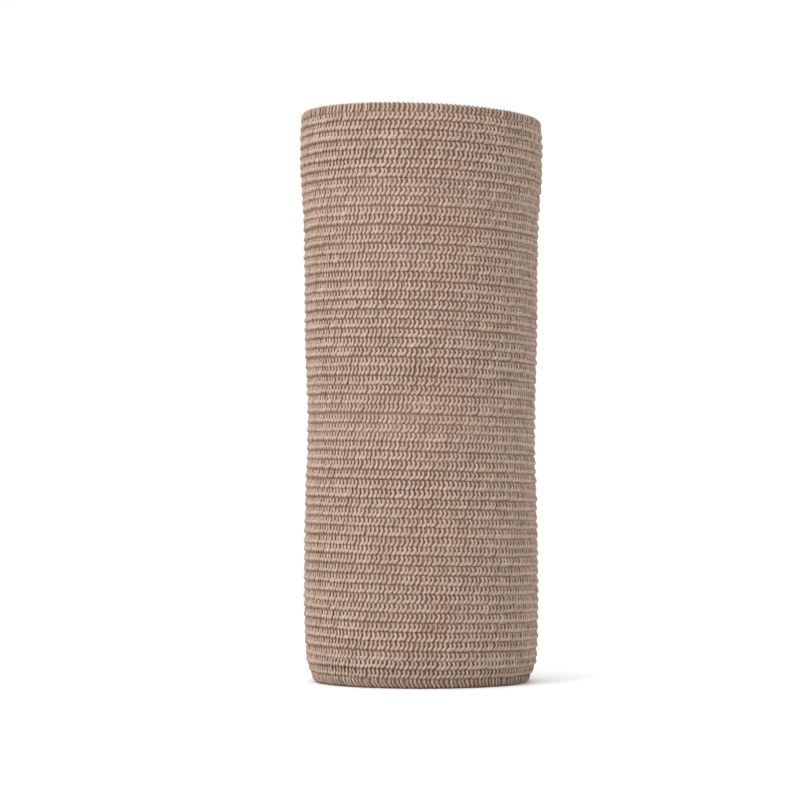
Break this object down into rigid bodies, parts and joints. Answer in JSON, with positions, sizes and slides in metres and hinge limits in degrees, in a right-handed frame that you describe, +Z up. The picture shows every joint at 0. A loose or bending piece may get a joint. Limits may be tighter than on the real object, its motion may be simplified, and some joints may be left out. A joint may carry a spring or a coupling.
{
  "type": "crepe bandage roll",
  "caption": "Upright roll of wide ribbed elastic crepe bandage, wound into a spiral with no core, flat on its end, outer cut end tucked flush at the back.",
  "frame": {"origin": "centre of the flat base end, in the middle of the roll's width and depth", "axes": "+Z up along the roll's axis, -Y towards the viewer of the picture, +X to that viewer's right"},
  "size_m": [0.0642, 0.0654, 0.15],
  "materials": {
    "crepe_cloth": "tan ribbed elastic crepe, matt, with fine stitches along each rib"
  },
  "bodies": {
    "root": {"bandage_roll": "crepe_cloth"}
  },
  "joints": []
}
